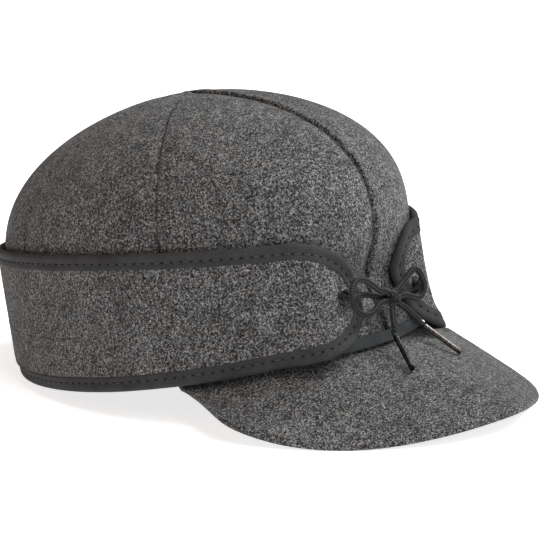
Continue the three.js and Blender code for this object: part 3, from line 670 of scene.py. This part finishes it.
def makeAglet(key):
    route = laceRoutes[key]
    top, tip = np.array(route["tail"][-1], float), np.array(route["tip"], float)
    along = unit(tip - top)
    top = top + along * aglet["gap"]
    length = np.linalg.norm(tip - top)
    lip, radius = aglet["lip"], aglet["radius"]
    profile = [(0.15, radius - 0.42), (0, radius - 0.3), (0, radius - 0.1), (0.12, radius), (0.5, radius),
               (0.75, radius - lip), (1.1, radius - lip), (1.4, radius - 0.04),
               (length - 1.5, radius - 0.04), (length - 1.2, radius - lip), (length - 0.9, radius - lip),
               (length - 0.65, radius), (length - 0.15, radius), (length, radius - 0.15),
               (length, radius - 0.35), (length - 0.25, radius - 0.5)]
    aside = unit(np.cross(along, (0, 0, 1)))
    other = np.cross(along, aside)
    count = aglet["flutes"] * 6
    turn = 2 * np.pi * np.arange(count) / count
    ring = aside[None, :] * np.cos(turn)[:, None] + other[None, :] * np.sin(turn)[:, None]
    rings = []
    for distance, size in profile:
        fluted = 1.3 < distance < length - 1.4
        cut = aglet["fluteDepth"] * (0.5 - 0.5 * np.cos(aglet["flutes"] * turn)) if fluted else 0 * turn
        rings.append(top + along * distance + ring * (size - cut)[:, None])
    vertices, faces = tubeMesh(toFrame(np.array(rings)))
    # the near aglet takes the painted-shade copy of the nickel, the far one the painted-light copy
    metal = paintedShadeNickel if key == "right" else paintedLightNickel
    return addPiece("aglet" + key.capitalize(), vertices, faces, metal, ["aglet_" + key], sharp=40)


def makeLace(key, side, pieces):
    route = laceRoutes[key]
    centre, normal = eyeletPlace(side)
    through = [centre + normal * out for out in (-lace["into"], 0, lace["out"])]
    tail = np.array(route["tail"], float)
    along = unit(np.array(route["tip"], float) - tail[-1])
    ending = [tail[-1] - along * lace["width"], tail[-1], tail[-1] + along * lace["sleeved"]]
    points = through + route["run"] + route["inward"] + route["loop"] + route["back"] + list(tail[:-1]) + ending
    line = smoothLine(points, lace["step"])
    travelled = np.concatenate([[0], np.cumsum(np.linalg.norm(np.diff(line, axis=0), axis=1))])
    face, side = broadFace(line, np.array([1.0, 0, 0]), (0, 0, 1))[1:]
    sections, shade = laceSections(line, face, side, travelled)
    slim = 1 - 0.3 * (1 - smooth((travelled[-1] - travelled) / 2.2))[:, None, None]  # squeezed into the aglet
    sections = line[:, None, :] + (sections - line[:, None, :]) * slim
    vertices, faces = tubeMesh(toFrame(sections))
    piece = addPiece("lace" + key.capitalize(), vertices, faces, braid,
                     [f"lace_{key}_{part}" for part in ("run", "loop", "tail")], sharp=60, shade=shade)
    return piece


# The knot: a tight core with one strand wrapped over it
def makeKnot():
    centre = np.array(knot["centre"])
    half = np.array(knot["half"])
    count, rows = 40, 24
    turn = 2 * np.pi * np.arange(count) / count
    sections = []
    for polar in np.pi * (np.arange(rows) + 0.5) / rows:
        ring = np.stack([np.sin(polar) * np.cos(turn), np.full(count, np.cos(polar)), np.sin(polar) * np.sin(turn)], -1)
        lump = 0.86 + 0.07 * np.cos(2 * turn + 3 * polar)
        sections.append(centre + ring * half * lump[:, None])
    core, coreFaces = tubeMesh(toFrame(np.array(sections)))
    across = unit(np.array(knot["strandLean"]))
    swing = np.linspace(0, 2 * np.pi, 120, endpoint=False)
    outwards = np.array([knot["strandOut"], 0, 0])
    ring = centre + np.cos(swing)[:, None] * outwards + np.sin(swing)[:, None] * across * knot["strandAcross"]
    tangent = unit(np.roll(ring, -1, 0) - np.roll(ring, 1, 0))
    outward = unit(ring - centre)
    outward = unit(outward - tangent * (outward * tangent).sum(-1, keepdims=True))
    steps = np.linalg.norm(np.roll(ring, -1, 0) - ring, axis=1)
    travelled = np.concatenate([[0], np.cumsum(steps)[:-1]]) * knot["strandRibs"] * lace["ribPitch"] / steps.sum()
    loop, shade = laceSections(ring, outward, np.cross(tangent, outward), travelled)
    strand, strandFaces = tubeMesh(toFrame(loop), closed=True)
    vertices = np.concatenate([strand, core])
    faces = list(strandFaces) + [[int(i) + len(strand) for i in face] for face in coreFaces]
    return addPiece("bowKnot", vertices, faces, braid, ["lace_knot"], sharp=60, shade=shade)


bowKnot = makeKnot()
for lacedSide, sign in (("right", -1), ("left", 1)):
    makeLace(lacedSide, sign, [makeAglet(lacedSide)] + ([bowKnot] if sign < 0 else []))
print("lace tied")

# Crown
panels = [
    ("FrontLeft", 0, 67.6, "crown_panel_front_left"),
    ("SideLeft", 67.6, 118, "crown_panel_side_left"),
    ("BackLeft", 118, 180, "crown_panel_back_left"),
    ("BackRight", -180, -118, "crown_panel_back_right"),
    ("SideRight", -118, -67.6, "crown_panel_side_right"),
    ("FrontRight", -67.6, 0, "crown_panel_front_right"),
]


# The seams pull the cloth in and its edges roll under; the front seam is lapped left over right
def seamRelief(distance, lap):
    relief = -crown["seamDip"] * np.exp(-(distance / crown["seamWide"]) ** 2)
    roll = crown["edgeRoll"] if lap else crown["sideRoll"]
    relief = relief - roll * np.clip(1 - distance / crown["edgeWidth"], 0, 1) ** 2
    return relief + lap * crown["weltRise"] * np.exp(-(distance / crown["weltWidth"]) ** 2)


# Hand-guided seams wander a little
def seamWave(degrees, levels):
    phase = 0.7 * (degrees % 360) / 10
    return crown["seamWave"] * (0.6 * np.sin(9 * levels + phase) + 0.4 * np.sin(23 * levels + 2 * phase))


def makeCrownPanel(label, fromDegrees, toDegrees, replaced):
    columns = 56
    levels = np.concatenate([np.linspace(0, 1, 25)[:-1], 1 + crowded(60, 0.35)])
    start, end = math.radians(fromDegrees), math.radians(toDegrees)
    middle = crownPoint(np.full_like(levels, (start + end) / 2), levels)
    radius = np.maximum(0.5, np.hypot(middle[:, 0] - crown["topForward"], middle[:, 1]))
    seam = np.minimum(crown["seamGap"] / 2 / radius, (end - start) * 0.3)
    across = crowded(columns)[None, :]
    wave = [seamWave(edge, levels) / radius * np.clip(radius / 20, 0, 1) for edge in (fromDegrees, toDegrees)]
    first, last = start + seam + wave[0], end - seam + wave[1]
    heading = first[:, None] + (last - first)[:, None] * across
    level = np.broadcast_to(levels[:, None], heading.shape)
    safe = np.clip(level, 0.01, 1.985)
    normal = normalsOf(crownPoint, heading, safe, 0.01, 0.008)
    points = crownPoint(heading, level)
    width = (end - start) * radius[:, None]
    fromStart, fromEnd = across * width, (1 - across) * width
    lapStart = 1 if fromDegrees == 0 else 0
    lapEnd = -0.5 if toDegrees == 0 else 0
    relief = seamRelief(fromStart, lapStart) + seamRelief(fromEnd, lapEnd)
    relief = relief + crown["puff"] * np.sin(np.pi * across) * np.clip(width / 60, 0, 1)
    relief = relief * smooth((2 - level) / 0.06)
    outer = points + normal * relief[..., None]
    inner = points - normal * crown["cloth"]
    vertices, faces = sheetParts(toFrame(outer), toFrame(inner))
    return addPiece("crownPanel" + label, vertices, facedOut(vertices, faces), wool, [replaced])


for panel in panels:
    makeCrownPanel(*panel)
print("crown sewn from six panels")

# Ear band
noseSteps, sideSteps = 36, 220
edgeLine = bandEdge(noseSteps, sideSteps)


def makeEarBand():
    heading, up = insetEdge(edgeLine, binding["width"] - 2)
    columns, rowsUp = 2 * noseSteps + sideSteps, 40
    order = np.arange(columns + 1)
    top, bottom = (noseSteps + order) % len(heading), (len(heading) + noseSteps - order) % len(heading)
    share = np.linspace(0, 1, rowsUp + 1)[None, :]
    headings = heading[bottom][:, None] + (heading[top] - heading[bottom])[:, None] * share
    heights = up[bottom][:, None] + (up[top] - up[bottom])[:, None] * share
    outer = bandPoint(headings, heights, band["thickness"] / 2)
    inner = bandPoint(headings, heights, -band["thickness"] / 2)
    vertices, faces = sheetParts(toFrame(outer), toFrame(inner))
    piece = addPiece("earBandCloth", vertices, facedOut(vertices, faces), wool, ["ear_band"])
    middle = toFrame(bandPoint(headings, heights))
    tall = np.linalg.norm(np.diff(middle, axis=1), axis=-1).sum(1)
    wide = np.linalg.norm(np.diff(middle[:, rowsUp // 2], axis=0), axis=-1).sum()
    across = np.linalg.norm(np.diff(middle[:, rowsUp // 2], axis=0), axis=-1)
    flatArea = float((across * (tall[1:] + tall[:-1]) / 2).sum())
    return piece, (float(wide), float(tall.max())), flatArea


def makeBinding():
    half = binding["thickness"] / 2
    turn = np.linspace(-np.pi / 2, np.pi / 2, 13)
    roll = [(2 - 2 * math.cos(t), half * math.sin(t)) for t in turn]
    flat = [(3.2, half - 0.15), (3.9, half - 0.3), (4.5, half - 0.55), (5.1, half - 0.3), (5.8, half - 0.18),
            (6.8, half - 0.12), (7.25, half - 0.2), (7.45, half - 0.42), (7.4, band["thickness"] / 2 - 0.3)]
    section = roll + flat + [(inset, -out) for inset, out in reversed(flat)]
    tracks = [bandPoint(*insetEdge(edgeLine, inset), out) for inset, out in section]
    sections = toFrame(np.stack(tracks, 1))
    vertices, faces = tubeMesh(sections, closed=True)
    return addPiece("bindingTape", vertices, faces, twill, ["binding_upper", "binding_lower"],
                    uv=tubeUv(faces, sections))


earBand, bandFlat, bandArea = makeEarBand()
bindingTape = makeBinding()
print("ear band bound with tape")

# Visor
visor = {
    "thickness": 3.3, "rootHeading": 68, "sideForward": 73, "tipForward": 172.2, "halfWidth": 91.5,
    "squareness": 1.68, "backReach": 52.5, "endAngle": 96, "endFrom": 0.96, "thinFrom": 0.86, "endThinning": 0.65,
    "slope": 0.797, "levelling": 0.0034, "levelFrom": 32.1, "levelHeight": 13.65, "sideDrop": 1.37,
}


def visorPoint(share, depth):
    share, depth = np.broadcast_arrays(np.asarray(share, float), np.asarray(depth, float))
    heading = share * math.radians(visor["rootHeading"])
    root = crownWall(heading, 0 * heading)
    root[..., 0] -= 0.96 * crown["cloth"] * np.cos(heading)
    root[..., 1] -= 0.96 * crown["cloth"] * np.sin(heading)
    root[..., 2] = hemHeight(heading) - crown["gap"]
    angle = np.abs(share) * math.radians(visor["endAngle"])
    power = 2 / visor["squareness"]
    swing = np.cos(angle)
    reach = visor["tipForward"] - visor["sideForward"]
    forward = visor["sideForward"] + np.where(swing > 0, reach * np.abs(swing) ** power, visor["backReach"] * swing)
    left = np.sign(share) * visor["halfWidth"] * np.sin(angle) ** power
    run = forward - visor["levelFrom"]
    up = visor["levelHeight"] - visor["slope"] * run + visor["levelling"] * run ** 2
    edge = np.stack([forward, left, np.minimum(up, root[..., 2] - 0.2)], -1)
    back = 0.93 * smooth((np.abs(share) - visor["endFrom"]) / (1 - visor["endFrom"]))
    edge = edge + (root - edge) * back[..., None]
    points = root + (edge - root) * depth[..., None]
    points[..., 2] -= visor["sideDrop"] * (points[..., 1] / visor["halfWidth"]) ** 2 * depth
    return points


def makeVisor():
    share = np.linspace(-1, 1, 201)[:, None]
    depth = np.linspace(0, 1, 31)[None, :]
    top = visorPoint(share, depth)
    thinned = 1 - visor["endThinning"] * smooth((np.abs(share) - visor["thinFrom"]) / (1 - visor["thinFrom"]))
    radius = visor["thickness"] / 2 * thinned[..., None]
    low = top - np.array([0, 0, 1]) * radius * 2
    outward = unit(top[:, -1] - top[:, -2])[:, None, :]
    centre = (top[:, -1] + low[:, -1])[:, None, :] / 2 - outward * radius
    turn = np.linspace(0, np.pi, 11)[1:-1][None, :, None]
    rim = centre + radius * (np.sin(turn) * outward + np.cos(turn) * np.array([0, 0, 1]))
    pulled = top.copy()
    lowered = low.copy()
    pulled[:, -1] -= outward[:, 0] * radius[:, 0]
    lowered[:, -1] -= outward[:, 0] * radius[:, 0]
    sections = np.concatenate([pulled, rim, lowered[:, ::-1]], 1)
    vertices, faces = tubeMesh(toFrame(settled(sections)))
    return addPiece("visorCloth", vertices, faces, wool, ["visor"])


makeVisor()
print("visor made")


# Tape over the seam of visor and crown
hemTape = {"thickness": 1, "height": 5.5, "heading": 74, "gap": 0.3}


def makeHemTape():
    heading = np.radians(hemTape["heading"]) * np.linspace(-1, 1, 161)[:, None]
    half = hemTape["thickness"] / 2
    turn = np.linspace(0, np.pi, 7)
    high, low = hemTape["gap"] + hemTape["height"], hemTape["gap"]
    section = [(high - half + half * math.sin(t), half * math.cos(t)) for t in turn]
    section += [(low + half - half * math.sin(t), -half * math.cos(t)) for t in turn]
    rise = np.array([place[0] for place in section])[None, :]
    out = np.array([place[1] for place in section])[None, :] + half + hemTape["gap"]
    up = hemHeight(heading) + rise
    normal = normalsOf(crownWall, heading + 0 * rise, up, 0.01, 0.5)
    sections = toFrame(crownWall(heading + 0 * rise, up) + normal * out[..., None])
    vertices, faces = tubeMesh(sections)
    return addPiece("hemTape", vertices, faces, hemTwillPaintedLight, ["hem_tape"])


makeHemTape()


# Eyelets: a rolled flange on each side of the cloth and a barrel through it
def makeEyelet(key, side):
    centre, normal = eyeletPlace(side)
    face = band["thickness"] / 2 + eyelet["seat"] - eyelet["rollUnder"]
    hole, flange, lip = eyelet["hole"], eyelet["flange"], eyelet["lip"] + eyelet["rollOver"]
    turn = np.linspace(0, np.pi, 10)
    middle, reach = (hole + flange) / 2, (flange - hole) / 2
    outer = [(middle + reach * math.cos(t), face + lip * math.sin(t) ** 0.8) for t in turn]
    profile = outer + [(hole - 0.1, 0)] + [(r, -height) for r, height in reversed(outer)] + [(eyelet["barrel"], 0)]
    aside = unit(np.cross(normal, (0, 0, 1)))
    other = np.cross(normal, aside)
    angle = 2 * np.pi * np.arange(48) / 48
    ring = aside * np.cos(angle)[:, None] + other * np.sin(angle)[:, None]
    sections = np.array([[centre + direction * r + normal * height for r, height in profile] for direction in ring])
    vertices, faces = tubeMesh(toFrame(sections), closed=True)
    return addPiece("eyelet" + key, vertices, faces, gloss, ["eyelet_" + key.lower()], sharp=60)


makeEyelet("Right", -1)
makeEyelet("Left", 1)
print("hem tape and eyelets set")


# Stitches: one small rounded thread after another along a line
def makeStitchTree():
    tree = bpy.data.node_groups.new("stitchesAlongLine", "GeometryNodeTree")
    face = tree.interface
    face.new_socket("Line", in_out="INPUT", socket_type="NodeSocketGeometry")
    for label, value in (("Pitch", 0.0023), ("Stitch Length", 0.0017), ("Thread", 0.0005), ("Unevenness", 0.12)):
        socket = face.new_socket(label, in_out="INPUT", socket_type="NodeSocketFloat")
        socket.default_value = value
    face.new_socket("Seed", in_out="INPUT", socket_type="NodeSocketInt").default_value = 4
    face.new_socket("Material", in_out="INPUT", socket_type="NodeSocketMaterial")
    face.new_socket("Stitches", in_out="OUTPUT", socket_type="NodeSocketGeometry")
    given = tree.nodes.new("NodeGroupInput").outputs
    curve = node(tree, "GeometryNodeMeshToCurve", {"Mesh": given["Line"]})
    places = node(tree, "GeometryNodeCurveToPoints", {"Curve": curve.outputs[0], "Length": given["Pitch"]},
                  mode="LENGTH")
    ball = node(tree, "GeometryNodeMeshUVSphere", {"Segments": 8, "Rings": 6, "Radius": 0.5})
    shape = node(tree, "ShaderNodeCombineXYZ", {0: given["Thread"], 1: given["Thread"], 2: given["Stitch Length"]})
    stitch = node(tree, "GeometryNodeTransform", {"Geometry": ball.outputs[0], "Scale": shape.outputs[0]})
    least = node(tree, "ShaderNodeMath", {0: 1.0, 1: given["Unevenness"]}, operation="SUBTRACT")
    most = node(tree, "ShaderNodeMath", {0: 1.0, 1: given["Unevenness"]}, operation="ADD")
    uneven = node(tree, "FunctionNodeRandomValue", {"Min": least.outputs[0], "Max": most.outputs[0],
                                                    "Seed": given["Seed"]}, data_type="FLOAT")
    size = node(tree, "ShaderNodeCombineXYZ", {0: 1.0, 1: 1.0, 2: uneven.outputs[1]})
    placed = node(tree, "GeometryNodeInstanceOnPoints", {
        "Points": places.outputs["Points"], "Instance": stitch.outputs[0],
        "Rotation": places.outputs["Rotation"], "Scale": size.outputs[0]})
    real = node(tree, "GeometryNodeRealizeInstances", {"Geometry": placed.outputs[0]})
    finished = node(tree, "GeometryNodeSetMaterial", {"Geometry": real.outputs[0], "Material": given["Material"]})
    result = tree.nodes.new("NodeGroupOutput")
    tree.links.new(finished.outputs[0], result.inputs["Stitches"])
    return tree


def generated(name, source, tree, settings):
    holder = bpy.data.objects.new(name + "Line", source)
    scene.collection.objects.link(holder)
    modifier = holder.modifiers.new("made", "NODES")
    modifier.node_group = tree
    for item in tree.interface.items_tree:
        if item.item_type == "SOCKET" and item.in_out == "INPUT" and item.name in settings:
            modifier[item.identifier] = settings[item.name]
    ready = holder.evaluated_get(bpy.context.evaluated_depsgraph_get())
    mesh = bpy.data.meshes.new_from_object(ready)
    mesh.name = name
    mesh.polygons.foreach_set("use_smooth", [True] * len(mesh.polygons))
    bpy.data.objects.remove(holder)
    piece = bpy.data.objects.new(name, mesh)
    scene.collection.objects.link(piece)
    finishPiece(piece)
    return piece


def lineMesh(name, lines):
    vertices, edges = [], []
    for line, closed in lines:
        start, count = len(vertices), len(line)
        vertices += [tuple(point) for point in toFrame(line)]
        edges += [(start + i, start + (i + 1) % count) for i in range(count if closed else count - 1)]
    mesh = bpy.data.meshes.new(name)
    mesh.from_pydata(vertices, edges, [])
    return mesh


stitchTree = makeStitchTree()
stitches = {
    "inset": 4.5, "sunk": 0.5, "pitch": 4.7,
    "bandLine": 26, "bandFrom": 96, "bandTo": 264, "bandOut": 0.02,
    "tickFrom": 6, "tickTo": 15, "ticks": 5, "tickHalf": 0.45, "tickWander": 0.2, "tickRise": 0.35, "tickOut": 0.55,
}
bindingPitch = stitches["pitch"] / 1000
threadSizes = {  # in metres, as the Geometry Nodes inputs take them
    "binding": {"Pitch": bindingPitch, "Stitch Length": 0.0034, "Thread": 0.0007, "Unevenness": 0.1, "Seed": 4},
    "holes": {"Pitch": bindingPitch, "Stitch Length": 0.0017, "Thread": 0.0011, "Unevenness": 0.2, "Seed": 6},
    "band": {"Pitch": 0.0031, "Stitch Length": 0.0022, "Thread": 0.0004, "Unevenness": 0.2, "Seed": 9},
    "ticks": {"Pitch": 0.0011, "Stitch Length": 0.0012, "Thread": 0.00045, "Unevenness": 0.25, "Seed": 2},
}


def makeStitches():
    heading, up = insetEdge(edgeLine, stitches["inset"])
    out = binding["thickness"] / 2 - stitches["sunk"]
    threads, holes = [], []
    for side in (1, -1):
        seam = bandPoint(heading, up, side * out)
        seam = evenly(np.concatenate([seam, seam[:1]]), stitches["pitch"] / 2)[:-1]
        seam = seam[:len(seam) // 2 * 2]
        threads.append((seam, True))
        # Painted shade: a dark mark in each stitch hole, halfway between the pale stitches
        holes.append((np.roll(seam, -1, 0), True))
    bindingStitches = generated("bindingStitches", lineMesh("bindingSeam", threads), stitchTree,
                                {**threadSizes["binding"], "Material": paleThread})
    bindingHoleShade = generated("bindingHoleShade", lineMesh("bindingHoleShadeLine", holes), stitchTree,
                             {**threadSizes["holes"], "Material": threadAndHoleShade})
    around = np.radians(np.linspace(stitches["bandFrom"], stitches["bandTo"], 240))
    line = bandPoint(around, bottomEdge(around) + stitches["bandLine"], band["thickness"] / 2 + stitches["bandOut"])
    bandStitches = generated("bandStitches", lineMesh("bandSeam", [(line, False)]), stitchTree,
                             {**threadSizes["band"], "Material": threadAndHoleShade})
    half, rise = stitches["tickHalf"], stitches["tickRise"]
    ticks = []
    for i, high in enumerate(np.linspace(stitches["tickFrom"], stitches["tickTo"], stitches["ticks"])):
        across = np.radians(np.array([-half, 0, half]) + stitches["tickWander"] * math.sin(5 * i))
        heights = high + np.array([-rise, 0, rise]) * (1 if i % 2 else -1)
        ticks.append((crownWall(across, heights) + np.array([stitches["tickOut"], 0, 0]), False))
    generated("seamStitches", lineMesh("frontSeam", ticks), stitchTree,
              {**threadSizes["ticks"], "Material": threadAndHoleShade})
    return bindingStitches, bindingHoleShade, bandStitches


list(makeStitches())
print(f"stitches sewn; ear band cut {bandFlat[0] * 1000:.0f} by {bandFlat[1] * 1000:.0f} mm")


# Floor and light: a white floor, soft light all round, brighter and cooler from the front, warmer from behind
lights = {
    "world": {"colour": (1, 0.975, 0.955), "strength": 0.12},
    "front": {"right": 1.2, "back": -0.4, "up": 1.15, "size": 0.9, "watts": 29.5, "colour": (0.94, 0.985, 1)},
    "fill": {"right": 0.85, "back": 1.1, "up": 1.15, "size": 1.1, "watts": 7.3, "colour": (0.97, 1, 1)},
    "behind": {"right": -1.2, "back": 0.5, "up": 0.7, "size": 0.8, "watts": 1.6, "colour": (1, 0.42, 0.22)},
    "above": {"right": 0.3, "back": 0.45, "up": 1.5, "size": 0.9, "watts": 11.2, "colour": (1, 0.93, 0.88)},
}


def makeLight(name, size):
    azimuth = math.radians(cameraSizes["azimuth"])
    right = Vector((math.cos(azimuth), math.sin(azimuth), 0))
    back = Vector((math.sin(azimuth), -math.cos(azimuth), 0))
    data = bpy.data.lights.new(name + "Light", "AREA")
    data.size = size["size"]
    data.energy = size["watts"]
    data.color = size["colour"]
    target = Vector(cameraSizes["target"])
    place = right * size["right"] + back * size["back"] + Vector((0, 0, size["up"]))
    lamp = bpy.data.objects.new(name + "Light", data)
    lamp.location = target + place
    lamp.rotation_euler = place.to_track_quat("Z", "Y").to_euler()
    scene.collection.objects.link(lamp)


def makeStage():
    bpy.ops.mesh.primitive_plane_add(size=8, location=(0, 0, 0))
    floor = bpy.context.object
    floor.name = "floor"
    material, tree, shader = newMaterial("whiteFloor")
    place = node(tree, "ShaderNodeTexCoord").outputs["Object"]
    tone = node(tree, "ShaderNodeValToRGB", {"Fac": noiseOf(tree, place, 0.4, 2)})
    tone.color_ramp.elements[0].color = (0.84, 0.84, 0.84, 1)
    tone.color_ramp.elements[1].color = (0.88, 0.88, 0.88, 1)
    tree.links.new(tone.outputs[0], shader.inputs["Base Color"])
    shader.inputs["Roughness"].default_value = 0.9
    shader.inputs["Specular IOR Level"].default_value = 0.1
    shader.inputs["Emission Color"].default_value = (1, 1, 1, 1)
    shader.inputs["Emission Strength"].default_value = 0.75
    floor.data.materials.append(material)
    world = bpy.data.worlds.new("studio")
    scene.world = world
    world.use_nodes = True
    background = world.node_tree.nodes["Background"]
    background.inputs["Color"].default_value = (*lights["world"]["colour"], 1)
    background.inputs["Strength"].default_value = lights["world"]["strength"]
    for name in ("front", "fill", "behind", "above"):
        makeLight(name, lights[name])
    scene.view_settings.view_transform = "Standard"


makeStage()
print("stage set")
